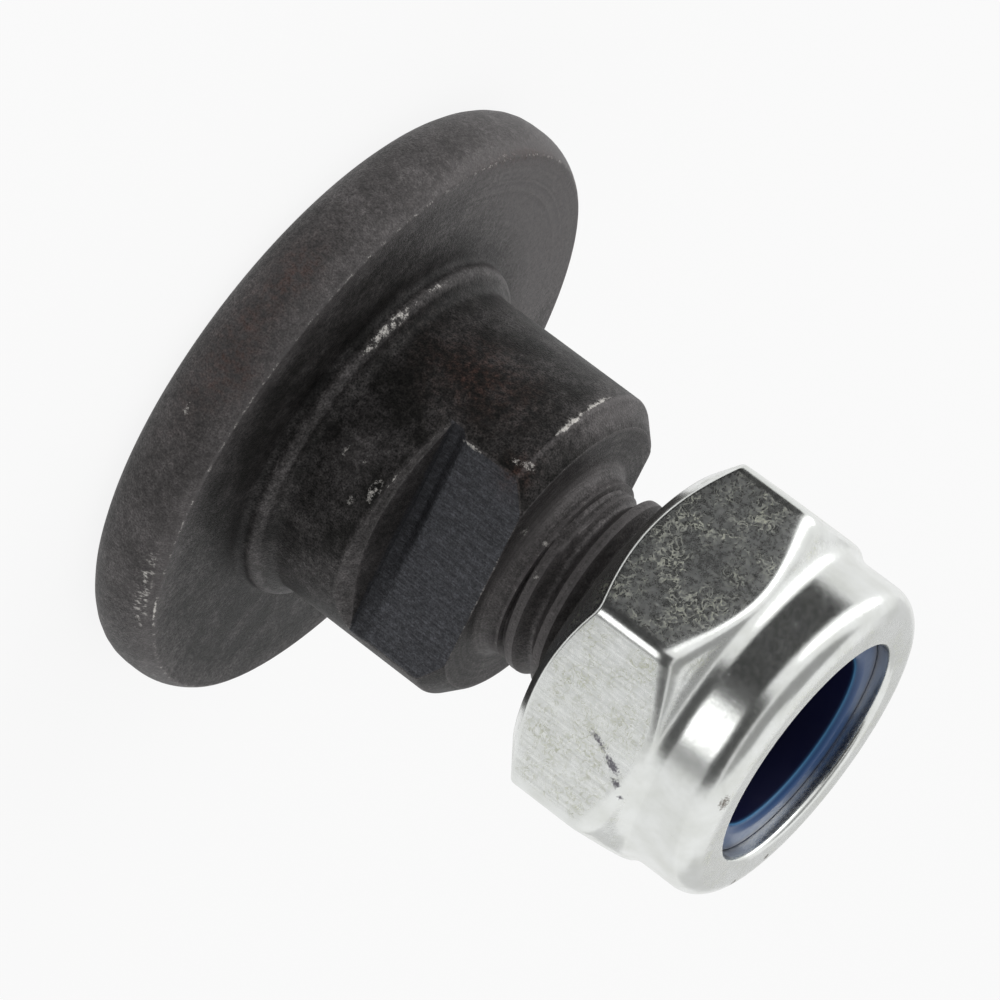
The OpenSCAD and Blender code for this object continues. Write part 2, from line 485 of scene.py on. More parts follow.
def wall_rows(start_z, m):
    """Rows of the shank up to the foot of the flats' walls. Up to the rim the radius is the shank's, and a
    worn bevel runs along the rim, wider where the wall is deeper: its width nears its full one as one less
    e to the minus depth. The wall is a straight line from there to the foot, where the radius is the flat's
    distance over the cosine."""
    shank = m.shank_r
    half = math.acos((m.flat_x - m.relief) / shank)
    angle = zone_angles(half)
    cosine = np.abs(np.cos(angle))
    foot_x = m.flat_x - m.relief * groove_share(angle)
    depth = np.clip(shank * cosine - foot_x, 0, None)
    past = np.clip(foot_x - shank * cosine, 0, None)
    lean = (m.foot_z - m.rim_z) * depth / (shank - foot_x)
    rim = m.foot_z - lean - SIDE_DROP * smooth_step(past / 2)
    grown = 1 - np.exp(-0.9 * depth / RIM_BEVEL)
    corner = RIM_BEVEL * rim_share(angle) * grown * (1 + RIM_WAVER * unevenness(angle))
    below = shares(16)[:-1]
    bend = np.radians(np.linspace(0, 90, 10))[:, None]
    along = shares(10)[1:]
    inner = blend_min(shank + 0 * cosine, foot_x / cosine, FLAT_EDGE)
    radius = [
        shank + 0 * below * rim,
        shank - corner * (1 - np.cos(bend) ** RIM_SQUARENESS),
        shank - corner + (inner - shank + corner) * along,
    ]
    height = [
        start_z + (rim - corner - start_z) * below,
        rim - corner * (1 - np.sin(bend) ** RIM_SQUARENESS),
        rim + (m.foot_z - rim) * along,
    ]
    radius, height = np.concatenate(radius), np.concatenate(height)
    return [radius, height, angle + 0 * radius], half


def cut_rows(radius, flat_x, height, m):
    """Rows cut by the flats: the radius is the lesser of the round profile's and the flat's distance over
    the cosine of the angle, a little rounded where they meet."""
    angle = zone_angles(np.arccos(flat_x / radius))
    height = height[:, None] + 0 * angle
    distance = m.flat_x - (m.flat_x - flat_x[:, None]) * groove_share(angle)
    cut = blend_min(radius[:, None] + 0 * angle, distance / np.abs(np.cos(angle)), FLAT_EDGE)
    return [cut, height, angle]


def root_fillet(m):
    """Radius and height of the hollow that leads from the root ring's roll into the shank without a crease:
    its circle touches the roll's where the roll ends, and the shank."""
    roll_r = m.root_r - ROOT_ROLL
    turn = math.radians(ROOT_ROLL_END)
    fillet = (roll_r + ROOT_ROLL * math.cos(turn) - m.shank_r) / (1 - math.cos(turn))
    return fillet, m.head_t + FOOT_HOLLOW + (ROOT_ROLL + fillet) * math.sin(turn)


def head_profile(m):
    """The head and the root ring's soft roll, from the middle of the outer face to the shank's foot."""
    head_t = m.head_t
    step = m.head_r - m.edge_r
    rim_arc_r = (step**2 + m.widest_drop**2) / (2 * step)
    # The edge's rounding touches both the rim's arc and the face
    rim_turn = math.asin((m.widest_drop - FACE_EDGE) / (rim_arc_r - FACE_EDGE))
    edge_r = m.head_r - rim_arc_r + (rim_arc_r - FACE_EDGE) * math.cos(rim_turn)
    rim_turn = math.degrees(rim_turn)
    back = m.back_round
    root_r = m.root_r
    roll_r, hollow_z = root_r - ROOT_ROLL, head_t + FOOT_HOLLOW
    fillet, fillet_z = root_fillet(m)
    return joined(
        line(0, 0, m.head_r - back - 0.3, 0, 7),
        arc(m.head_r - back, back, back, -90, 0, 9),
        arc(m.head_r - rim_arc_r, head_t - m.widest_drop, rim_arc_r, 0, rim_turn - 1.5, 9),
        arc(edge_r, head_t - FACE_EDGE, FACE_EDGE, rim_turn, 90, 6),
        line(edge_r - 0.2, head_t, root_r + 0.6, head_t, 11),
        arc(root_r + FOOT_HOLLOW, hollow_z, FOOT_HOLLOW, 270, 190, 6),
        arc(roll_r, hollow_z, ROOT_ROLL, 0, ROOT_ROLL_END, 9),
        arc(m.shank_r + fillet, fillet_z, fillet, 177 + ROOT_ROLL_END, 180, 7),
    )


def shank_end_rows(m, half):
    """Rows from the wall's foot over the flats, the bevel and the end face to the neck's fillet."""
    shank, top, flat_x = m.shank_r, m.shank_top, m.flat_x
    bevel_z = top - m.shank_bevel
    groove_z = np.arange(m.foot_z + GROOVE_STEP, m.foot_z + GROOVE_REACH, GROOVE_STEP)
    flat_z = np.concatenate([groove_z, np.linspace(*FLAT_SPAN, 8)])
    bevel = [np.linspace(bevel_z - 0.15, bevel_z + 0.15, 6), np.linspace(bevel_z + 0.25, top - 0.1, 5)]
    bevel = np.concatenate(bevel)
    bevel_r = blend_min(shank + 0 * bevel, shank - (bevel - bevel_z), BEVEL_EDGE)
    end_turn = np.radians([25, 60, 90])
    end_r = shank - m.shank_bevel - END_EDGE * (1 - np.cos(end_turn))
    end_x = flat_x - END_EDGE_FLAT * (1 - np.cos(end_turn))
    end_z = top - END_EDGE * (1 - np.sin(end_turn))
    inward = shares(8)[1:]
    outer_half = math.acos(end_x[-1] / end_r[-1])
    angle = zone_angles(outer_half + (half - outer_half) * inward[:, 0])
    outline = blend_min(end_r[-1] + 0 * angle, end_x[-1] / np.abs(np.cos(angle)), FLAT_EDGE)
    fillet_start = m.neck_r + m.neck_fillet + 0.02
    return [
        cut_rows(shank + 0 * flat_z, flat_distance(flat_z, m), flat_z, m),
        cut_rows(bevel_r, flat_x + 0 * bevel, bevel, m),
        cut_rows(end_r, end_x, end_z, m),
        [outline + (fillet_start - outline) * inward, top + 0 * angle, angle],
    ]


def blade_bolt_grid(m):
    """Radius, height and angle over the bolt's whole surface, from the middle of the outer face to the
    middle of the thread's end: a profile turned about the axis, cut by two flats, and a thread whose rows
    climb with it."""
    wall, half = wall_rows(root_fillet(m)[1] + 0.05, m)
    fillet_z = m.shank_top + m.neck_fillet
    neck = joined(
        arc(m.neck_r + m.neck_fillet, fillet_z, m.neck_fillet, 268, 180, 9),
        line(m.neck_r, fillet_z + 0.1, m.neck_r, m.thread_z - 0.07, 3),
    )
    angle = zone_angles(half)[0]
    stem_z = thread_heights(m.thread_z, m.stem_top - THREAD_END, angle)
    stem_r = bolt_thread(stem_z, angle, m)
    end_r = (stem_r[-1] - THREAD_END) * np.linspace(1, 0, 6)[:, None]
    parts = [
        turned_rows(head_profile(m), half),
        wall,
        *shank_end_rows(m, half),
        turned_rows(neck, half),
        [stem_r, stem_z, angle + 0 * stem_z],
        [end_r, m.stem_top + 0 * end_r, angle + 0 * end_r],
    ]
    return [np.concatenate(values) for values in zip(*parts)]


# Columns of the nut's grid in each sixth of a turn, and how evenly they lie: 1 is even, 0 crowds them to the
# corners
SIXTH_COLUMNS = 60
CORNER_EVENNESS = 0.16
SIXTH = math.pi / 3
# Bevels of the hexagon at the bearing face and at the collar, as turns from flat
BEARING_BEVEL = math.radians(38)
COLLAR_BEVEL = math.radians(30)
# How far the worn edges between the nut's flats and its lower and upper bevels are rounded off, how much
# further the upper one is at the corners, and how far round from a corner that reaches
LOW_EDGE = 0.15
HIGH_EDGE = 0.28
CORNER_WEAR = 0.6
CORNER_REACH = math.radians(13)
# Radial play of the nut's thread over the bolt's, and the nut's least and greatest thread radius
THREAD_PLAY = 0.08
NUT_MINOR_R = 4.19
NUT_MAJOR_R = 5.05
# How far outside the corners the line starts that blends them into the collar
BLEND_MARGIN = 0.5
# Rounding of the edge between lip and mouth, and room between the ring and the lip over it
MOUTH_ROUND = 0.28
SEAT_GAP = 0.02
# Rounding of the outer edge of the ring's crown, and columns of the ring's grid
CROWN_EDGE = 0.1
RING_COLUMNS = 180


def nut_angles(turn):
    """Column angles of the nut: in each sixth of a turn about a corner they crowd towards that corner, by
    a mix of the step and its cube."""
    step = np.arange(SIXTH_COLUMNS) * 2 / SIXTH_COLUMNS - 1
    crowded = CORNER_EVENNESS * step + (1 - CORNER_EVENNESS) * step**3
    corners = turn + SIXTH * np.arange(3, 9)
    angle = (corners[:, None] + SIXTH / 2 * crowded).ravel()
    return np.append(angle, angle[0] + FULL_TURN)


def from_corner(angle, turn):
    """Angle from the nearest of the hexagon's corners."""
    return np.mod(angle - turn + SIXTH / 2, SIXTH) - SIXTH / 2


def hexagon_radius(angle, turn, m):
    """Radius of a hexagon with rounded corners: the flat's distance over the cosine of the angle from its
    middle, and near a corner the far side of the circle that rounds it."""
    off = np.abs(from_corner(angle, turn))
    flat = m.flat_r / np.cos(SIXTH / 2 - off)
    rounding = m.corner_round
    centre = (m.flat_r - rounding) / math.cos(SIXTH / 2)
    touch = math.atan2(rounding * math.sin(SIXTH / 2), centre + rounding * math.cos(SIXTH / 2))
    half_chord = np.sqrt(np.clip(rounding**2 - (centre * np.sin(off)) ** 2, 0, None))
    return np.where(off < touch, centre * np.cos(off) + half_chord, flat)


def collar_blend(m):
    """Radius and height of the line that a turning tool leaves above the corners: a bevel, then a fillet that
    ends upright on the collar. The first point lies outside the corners."""
    corner_r = m.flat_r / math.cos(SIXTH / 2)
    fillet = m.collar_fillet
    bevel_end = m.collar_r + fillet * (1 - math.sin(COLLAR_BEVEL))
    drop = (corner_r - bevel_end) * math.tan(COLLAR_BEVEL)
    upright_z = m.corner_top + drop + fillet * math.cos(COLLAR_BEVEL)
    turn = np.linspace(math.pi / 2 - COLLAR_BEVEL, 0, 60)
    radius = np.append(corner_r + BLEND_MARGIN, m.collar_r + fillet * (1 - np.cos(turn)))
    start_z = m.corner_top - BLEND_MARGIN * math.tan(COLLAR_BEVEL)
    height = np.append(start_z, upright_z - fillet * np.sin(turn))
    return radius, height


def collar_profile(m, upright_z):
    """The collar, the rolled lip, the mouth and the ring's seat, above the bearing face."""
    nut_h, lip = m.nut_h, m.lip_round
    seat_z, seat_top = ring_low.z - m.base_z, ring_high.z - m.base_z + SEAT_GAP
    lip_r = m.collar_r - lip
    return joined(
        line(m.collar_r, upright_z + 0.2, m.collar_r, nut_h - lip - 0.1, 4),
        arc(lip_r, nut_h - lip, lip, 0, 88, 14),
        line(lip_r - 0.1, nut_h, m.mouth_r + 0.36, nut_h - 0.01, 4),
        arc(m.mouth_r + MOUTH_ROUND, nut_h - 0.3, MOUTH_ROUND, 85, 180, 7),
        line(m.mouth_r, nut_h - 0.45, m.mouth_r, seat_top, 4),
        line(m.seat_r, seat_top, m.seat_r, seat_z, 3),
    )


def eased(start, corner, end):
    """Rows that round a corner off: with t from 0 to 1, start times (1 - t) squared, plus corner times
    2t(1 - t), plus end times t squared."""
    t = shares(8)[1:-1]
    return start * (1 - t) ** 2 + corner * 2 * t * (1 - t) + end * t**2


def lock_nut_grid(m, turn):
    """Radius, height and angle over the nut's whole surface: bearing face, bevel, flats, bevel and fillet
    to the collar, rolled lip, mouth, ring seat, thread and countersink, back to the bearing face."""
    angle = nut_angles(turn)
    hexagon = hexagon_radius(angle, turn, m)
    blend_r, blend_z = collar_blend(m)
    run = np.append(0, np.cumsum(np.hypot(np.diff(blend_r), np.diff(blend_z))))
    blend_start = np.interp(-hexagon, -blend_r, run)
    low_z = (hexagon - m.bearing_r) * math.tan(BEARING_BEVEL)
    high_z = np.interp(blend_start, run, blend_z)

    low_r = m.bearing_r + (hexagon - LOW_EDGE - m.bearing_r) * shares(8)
    low_rows_z = (low_r - m.bearing_r) * math.tan(BEARING_BEVEL)
    high_edge = HIGH_EDGE + CORNER_WEAR * bell(from_corner(angle, turn) / CORNER_REACH)
    side_z = low_z + LOW_EDGE + (high_z - high_edge - low_z - LOW_EDGE) * shares(9)
    blend_run = blend_start + high_edge + (run[-1] - blend_start - high_edge) * shares(16)
    blend_rows = [np.interp(blend_run, run, blend_r), np.interp(blend_run, run, blend_z)]
    collar = collar_profile(m, blend_z[-1])[:, :, None] + 0 * angle
    bearing = line(m.countersink_r, 0, m.bearing_r, 0, 6)[:, :, None] + 0 * angle
    bore_z = thread_heights(m.base_z + 0.3, ring_low.z, angle)[::-1]
    bore_r = np.clip(thread_flank(bore_z, angle) + THREAD_PLAY, NUT_MINOR_R, NUT_MAJOR_R)
    bore_z = bore_z - m.base_z
    parts = [
        bearing,
        [low_r, low_rows_z],
        [eased(low_r[-1], hexagon, hexagon), eased(low_rows_z[-1], low_z, side_z[0])],
        [hexagon + 0 * side_z, side_z],
        [eased(hexagon, hexagon, blend_rows[0][0]), eased(side_z[-1], high_z, blend_rows[1][0])],
        blend_rows,
        collar,
        [np.maximum(bore_r, m.countersink_r - bore_z), bore_z],
        bearing[:, :1],
    ]
    radius, height = (np.concatenate(values) for values in zip(*parts))
    return [radius, height + m.base_z, angle + 0 * radius]


def nylon_ring_grid(m):
    """Radius, height and angle over the ring: a rectangle with a low crown and rounded inner edges, turned
    about the axis."""
    low, seat, rounding = ring_low.z, ring_high.z, m.edge_round
    high = seat + m.crown
    profile = joined(
        line(m.outer_r, low, m.outer_r, seat, 3),
        line(m.outer_r - 0.1, seat, m.crown_r, seat, 4),
        arc(m.crown_r - CROWN_EDGE, high - CROWN_EDGE, CROWN_EDGE, 0, 90, 5),
        line(m.crown_r - 0.15, high, m.bore_r + rounding + 0.05, high, 6),
        arc(m.bore_r + rounding, high - rounding, rounding, 90, 180, 9),
        line(m.bore_r, high - rounding - 0.1, m.bore_r, low + rounding + 0.1, 8),
        arc(m.bore_r + rounding, low + rounding, rounding, 180, 270, 9),
        line(m.bore_r + rounding + 0.1, low, m.outer_r, low, 8),
    )
    angle = np.linspace(0, FULL_TURN, RING_COLUMNS + 1) + 0 * profile[0][:, None]
    return [profile[0][:, None] + 0 * angle, profile[1][:, None] + 0 * angle, angle]


# Places as the photo shows them: azimuth in degrees, then radius, height, reach round the axis and reach in
# the section, in mm. Scuffs show flecks of bare steel
BOLT_SCUFFS = [
    (-20, 8.0, 6.5, 0.6, 0.25),
    (-21, 8.0, 7.4, 0.5, 0.3),
    (-8, 8.0, 7.9, 0.4, 0.25),
    (-15, 8.0, 8.6, 1.1, 0.55),
    (22, 8.0, 9.3, 0.3, 0.6),
    (13, 8.0, 9.7, 0.3, 0.3),
    (-51, 8.7, 4.7, 1.2, 0.3),
    (-61, 8.7, 4.7, 1.2, 0.35),
    (-79, 8.7, 4.6, 1.5, 0.25),
    (-72, 8.0, 13.3, 1.3, 0.22),
    (-90, 8.0, 13.2, 1.3, 0.16),
    (-51, 7.9, 13.5, 0.4, 0.4),
    (-49, 8.0, 12.8, 0.3, 0.4),
    (-34, 5.4, 14.4, 0.7, 0.5),
    (-36, 4.7, 15.3, 0.5, 0.25),
    (-20, 4.7, 15.8, 0.5, 0.3),
    (4, 14.4, 4.0, 0.25, 0.15),
    (-91, 14.5, 3.7, 3.0, 0.12),
    (22, 14.7, 3.4, 5.0, 0.55),
    (-15, 15.0, 2.0, 0.9, 0.3),
    (-36, 5.7, 11.6, 1.2, 0.5),
]
# Light rust comes through the black
BOLT_RUST = [
    (-66, 8.0, 9.0, 1.9, 2.4),
    (-44, 15.0, 2.3, 1.2, 0.8),
    (-24, 14.9, 3.0, 1.2, 0.8),
    (-100, 14.4, 4.0, 3.5, 0.3),
    (-30, 15.0, 2.0, 4.0, 1.0),
    (-46, 7.8, 13.2, 1.0, 0.7),
]
# Paler places, broadly and then more so where they are palest: the black thinned by handling on the rim, and
# painted highlight where surfaces face the light, on the seating face's far side, the neck's fillet, the
# shank's bevel and a patch of the shank
BOLT_RUBBED_AND_SHEEN = [
    (-115, 12.5, 4.0, 8.0, 3.0),
    (-150, 12.0, 4.0, 6.0, 3.0),
    (-70, 14.9, 2.2, 16.0, 2.0),
    (0, 14.9, 2.2, 14.0, 2.0),
    (30, 14.6, 3.4, 6.0, 0.5),
    (-45, 5.3, 14.5, 4.0, 0.6),
    (-95, 7.7, 14.0, 3.0, 0.8),
]
# Painted highlight where surfaces face the light, the more so where they are palest
BOLT_PAINTED_SHEEN = [
    (-21, 8.0, 7.0, 1.2, 0.9),
    (-115, 12.5, 4.0, 8.0, 3.0),
    (-150, 12.0, 4.0, 6.0, 3.0),
    (-45, 5.1, 14.6, 4.0, 0.4),
    (-100, 7.7, 14.0, 4.0, 0.8),
]
# Tool marks cross the rim near the head's lower edge
BOLT_HATCHED = [(22, 14.7, 3.35, 6.0, 0.8)]
# Edges and marks are worn to nearly solid steel
BOLT_BRIGHT = [
    (-70, 8.0, 13.36, 1.6, 0.16),
    (-88, 8.0, 13.26, 1.6, 0.12),
    (-93, 14.55, 3.8, 2.5, 0.12),
    (-14, 8.0, 8.6, 0.35, 0.12),
    (-24, 8.0, 9.05, 1.2, 0.06),
    (-44.6, 8.0, 11.0, 0.1, 0.8),
    (27, 14.45, 3.95, 1.8, 0.09),
    (-33, 8.0, 9.4, 0.5, 0.12),
    (-40, 8.0, 9.7, 0.5, 0.12),
    (22, 8.0, 9.3, 0.5, 0.12),
    (13, 8.0, 9.7, 0.5, 0.12),
]
# Lines from the lathe show best on the seating face
FACE_LINES = [(-112, 12.9, 4.0, 5.0, 0.9)]
# Stains at the nut's mouth, and a row of nicks across one of its flats
NUT_STAINS = [
    (104, 6.7, 29.2, 0.2, 0.16),
    (83, 7.1, 29.2, 0.25, 0.22),
    (0, 7.3, 28.9, 0.5, 0.3),
    (25, 7.0, 28.9, 0.3, 0.2),
]
NUT_NICKS = [
    (3, 8.5, 22.9, 0.2, 0.2),
    (5, 8.5, 23.5, 0.2, 0.25),
    (8, 8.6, 24.2, 0.3, 0.35),
    (12, 8.7, 24.8, 0.2, 0.2),
    (16, 8.7, 25.2, 0.15, 0.2),
]
# Wear of all crisp edges, and of scuffed places, where 1 is bare steel all over
EDGE_WEAR = 0.62
SCUFF_WEAR = 0.75

WHITE = (1, 1, 1, 1)


def add_node(tree, kind, inputs=(), give=None, **settings):
    """Adds a node and makes its settings. Its inputs are linked or set, by name or number, or in order where
    they come as a tuple: those of MapRange are the value, the span it is read over and what the span's two
    ends give. Returns the output called give, or else the first one that is in use."""
    node = tree.nodes.new("ShaderNode" + kind)
    for key, value in settings.items():
        setattr(node, key, value)
    for key, value in inputs.items() if isinstance(inputs, dict) else enumerate(inputs):
        if isinstance(value, bpy.types.NodeSocket):
            tree.links.new(value, node.inputs[key])
        else:
            node.inputs[key].default_value = value
    return node.outputs[give] if give else next((out for out in node.outputs if out.enabled), None)


def new_material(name):
    """An empty node material, and add_node for its tree."""
    material = bpy.data.materials.new(name)
    material.use_nodes = True
    material.node_tree.nodes.clear()
    return material, partial(add_node, material.node_tree)


def rgba(colour_value):
    """A colour setting with full alpha."""
    return (*colour_value, 1)


def per_size(size_mm):
    """Scale of a noise pattern whose features are this many millimetres across."""
    return 1 / (size_mm * MM)


def black_oxide(s):
    """Black oxide on forged steel: a blued black skin, semi-matt with a fine forged grain, thinned to grey
    where handled, with painted highlight where it faces the light and painted shade in hollows, bright where
    edges are worn to the steel, and brown where light rust comes through."""
    material, add = new_material("Black oxide on forged steel")
    where = add("TexCoord", give="Object")
    names = ("edge", "scuff", "hatched", "rust", "pressed", "rubbed_and_painted_sheen", "hollow", "turned", "lathe_place")
    mark = {name: add("Attribute", give="Fac", attribute_name=name) for name in names}

    # Sizes in mm, then detail: forged grain, glints of bare metal, rust flecks and clouds of thinner skin.
    # The real grain and glints are finer, and are drawn as coarse as they need to show
    sizes = {"grain": (0.09, 3), "glint": (0.07, 3), "fleck": (0.3, 4), "cloud": (2.0, 5)}
    noise = {}
    for name, (size, detail) in sizes.items():
        look = {"Vector": where, "Scale": per_size(size), "Detail": detail, "Roughness": 0.6}
        noise[name] = add("TexNoise", look)
    # Lines that the lathe left, a quarter of a millimetre apart
    look = {"W": mark["lathe_place"], "Scale": 4.0, "Detail": 3.0}
    lathe = add("TexNoise", look, noise_dimensions="1D")
    # Fine short scratches along the axis, from the press
    along = add("Mapping", {"Vector": where, "Scale": (1, 1, 0.07)})
    streak = add("TexNoise", {"Vector": along, "Scale": per_size(0.11), "Detail": 3.0})

    # The skin: black, paler in clouds, where worn by handling and as painted highlight, bluer where it was
    # pressed, brown where rusted
    clouds = add("MapRange", (noise["cloud"], 0.42, 0.7, 0, 0.45))
    pale_and_sheen = add("Math", (clouds, mark["rubbed_and_painted_sheen"]), operation="ADD", use_clamp=True)
    rust_fleck = add("MapRange", (noise["fleck"], 0.38, 0.7, 0, 0.7))
    rusted = add("Math", (rust_fleck, mark["rust"]), operation="MULTIPLY")
    base = rgba(s.oxide)
    for share, tint in ((pale_and_sheen, s.oxide_pale_and_sheen), (mark["pressed"], s.oxide_blue), (rusted, s.rust)):
        base = add("Mix", {0: share, 6: base, 7: rgba(tint)}, data_type="RGBA")

    # Grain, lathe lines and press scratches, as heights about a half
    turned = add("Mix", {0: mark["turned"], 2: 0.5, 3: lathe})
    faint_streak = add("MapRange", (streak, 0, 1, 0.15, 0.85))
    scratched = add("Mix", {0: mark["pressed"], 2: 0.5, 3: faint_streak})
    lines = add("Math", (turned, scratched), operation="ADD")
    relief = add("Math", (noise["grain"], lines), operation="ADD")
    # Raised grain is worn paler and low grain stays blacker, in blotches, and less so where all is pale from
    # handling and painted highlight, or pressed. Painted shade keeps hollows blacker still
    shade = add("MapRange", (relief, 1.3, 1.8, 0.2, 2.5))
    blotch = add("MapRange", (noise["fleck"], 0.35, 0.65, 0.5, 1.5))
    shade = add("Math", (shade, blotch), operation="MULTIPLY")
    even_where_pale = add("MapRange", (mark["rubbed_and_painted_sheen"], 0, 1.2))
    even_press = add("MapRange", (mark["pressed"], 0, 1, 0, 0.5))
    evenness = add("Math", (even_where_pale, even_press), operation="MAXIMUM")
    shade = add("Mix", {0: evenness, 2: shade, 3: 1.0})
    # Painted shade darkens the hollows to half
    painted_shade = add("MapRange", (mark["hollow"], 0, 1, 1, 0.5))
    shade = add("Math", (shade, painted_shade), operation="MULTIPLY")
    base = add("Mix", {0: 1.0, 6: base, 7: shade}, data_type="RGBA", blend_type="MULTIPLY")

    # Worn places: wear that gathers in flecks, plus a fine noise, passes a threshold and shows bare steel. It
    # is solid on the most worn edges, and fine points where the wear is light, or scratches on the flats and
    # where tool marks cross the rim
    lined = add("Math", (mark["pressed"], mark["hatched"]), operation="MAXIMUM")
    glint = add("Mix", {0: lined, 2: noise["glint"], 3: streak})
    gathered = add("MapRange", (noise["fleck"], 0.4, 0.6, 0.6, 1.15))
    worn = mark["edge"]
    for operation, value in (("MAXIMUM", mark["scuff"]), ("MULTIPLY", gathered), ("ADD", glint)):
        worn = add("Math", (worn, value), operation=operation)
    bare = add("MapRange", (worn, 1.08, 1.42))
    base = add("Mix", {0: bare, 6: base, 7: rgba(s.steel)}, data_type="RGBA")

    rough = add("MapRange", (noise["grain"], 0, 1, 0.62, 0.4))
    bump = add("Bump", {"Height": relief, "Strength": 0.8, "Distance": 5e-5})
    skin = {"Base Color": base, "Roughness": rough, "Normal": bump}
    skin.update({"Metallic": 0.5, "Specular IOR Level": 0.25})
    add("OutputMaterial", (add("BsdfPrincipled", skin),))
    return material


def bright_zinc(s):
    """Bright zinc plate on cold-formed steel, barrel-plated: silvery with a yellow-green bloom, brushed along
    the flats by handling, nicked and lightly stained."""
    material, add = new_material("Bright zinc plate on cold-formed steel")
    where = add("TexCoord", give="Object")
    names = ("stain", "nick", "flat")
    mark = {name: add("Attribute", give="Fac", attribute_name=name) for name in names}
    # Brush marks that handling left along the axis, clouds, grit, a tangle and patches, with sizes in mm
    along = add("Mapping", {"Vector": where, "Scale": (1, 1, 0.06)})
    patterns = {
        "brushed": (0.12, {"Vector": along, "Detail": 3}),
        "cloud": (1.3, {"Detail": 5}),
        "grit": (0.1, {"Detail": 2}),
        "tangle": (0.42, {"Detail": 3, "Distortion": 0.9}),
        "patch": (0.24, {"Detail": 6, "Roughness": 0.7}),
    }
    noise = {}
    for name, (size, look) in patterns.items():
        noise[name] = add("TexNoise", {"Vector": where, "Scale": per_size(size), **look})
    # Fine curled scuffs in the plate lie where the tangle is near its middle value, and only in some clouds
    off_middle = add("Math", (noise["tangle"], 0.5), operation="SUBTRACT")
    off_middle = add("Math", (off_middle,), operation="ABSOLUTE")
    on_scuff = add("MapRange", (off_middle, 0.035, 0))
    thick = add("MapRange", (noise["cloud"], 0.4, 0.6))
    fibre = add("Math", (on_scuff, thick), operation="MULTIPLY")

    dull = add("MapRange", (noise["cloud"], 0.35, 0.7))
    film = add("Math", (fibre, mark["flat"]), operation="MULTIPLY")
    base = rgba(s.zinc)
    for share, tint in ((dull, s.zinc_dull), (film, s.chromate)):
        base = add("Mix", {0: share, 6: base, 7: rgba(tint)}, data_type="RGBA")
    # Brush marks catch the light and hold grime by turns
    tone = add("MapRange", (noise["brushed"], 0.3, 0.7, 0.89, 1.07))
    tone = add("Mix", {0: mark["flat"], 2: 1.0, 3: tone})
    base = add("Mix", {0: 1.0, 6: base, 7: tone}, data_type="RGBA", blend_type="MULTIPLY")
    # Stains, and nicks painted dark grey as the shade inside them, ragged where they end
    for name, tint in (("stain", s.stain), ("nick", s.dent_shade)):
        ragged = add("Math", (mark[name], noise["grit"]), operation="ADD")
        ragged = add("MapRange", (ragged, 0.85, 1.2, 0, 0.9))
        base = add("Mix", {0: ragged, 6: base, 7: rgba(tint)}, data_type="RGBA")

    # The collar is smooth, and the flats are matted by handling, the more where they are scuffed
    matt = add("MapRange", (noise["patch"], 0.3, 0.7, 0.2, 0.36))
    matt = add("Mix", {0: fibre, 2: matt, 3: 0.62})
    sleek = add("MapRange", (noise["patch"], 0, 1, 0.12, 0.34))
    rough = add("Mix", {0: mark["flat"], 2: sleek, 3: matt})
    height = add("Mix", {0: mark["flat"], 2: noise["patch"], 3: noise["brushed"]})
    bump = add("Bump", {"Height": height, "Strength": 0.35, "Distance": 1e-5})
    plate = {"Base Color": base, "Roughness": rough, "Normal": bump, "Metallic": 1.0}
    add("OutputMaterial", (add("BsdfPrincipled", plate),))
    return material


def dyed_nylon(s):
    """Dyed nylon, moulded: deep blue with a soft sheen, with a painted highlight along the thin inner edge,
    and painted shade in the bore and beside the lip."""
    material, add = new_material("Dyed nylon moulded")
    where = add("TexCoord", give="Object")
    cloud = add("TexNoise", {"Vector": where, "Scale": per_size(0.8), "Detail": 3.0})
    rough = add("MapRange", (cloud, 0, 1, 0.3, 0.45))
    bump = add("Bump", {"Height": cloud, "Strength": 0.3, "Distance": 3e-5})
    base = rgba(s.nylon)
    # Painted highlight along the inner edge, then painted shade in the bore and beside the lip
    for name, tint in (("edge", s.nylon_pale), ("bore", s.nylon_deep)):
        share = add("Attribute", give="Fac", attribute_name=name)
        base = add("Mix", {0: share, 6: base, 7: rgba(tint)}, data_type="RGBA")
    dyed = {"Base Color": base, "Roughness": rough, "Normal": bump, "IOR": 1.53, "Specular IOR Level": 0.3}
    add("OutputMaterial", (add("BsdfPrincipled", dyed),))
    return material


def settle(piece, node, body):
    """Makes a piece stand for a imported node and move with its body."""
    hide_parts(node)
    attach(piece, body)


# Points of the bolt that lie this near a face, or the foot of the wall, count as on it
ON_FACE = 0.02
ON_FOOT = 0.05
# Radius on the seating face inside which painted shade makes it blacker, towards the root ring
SHADED_FACE_R = 11.3


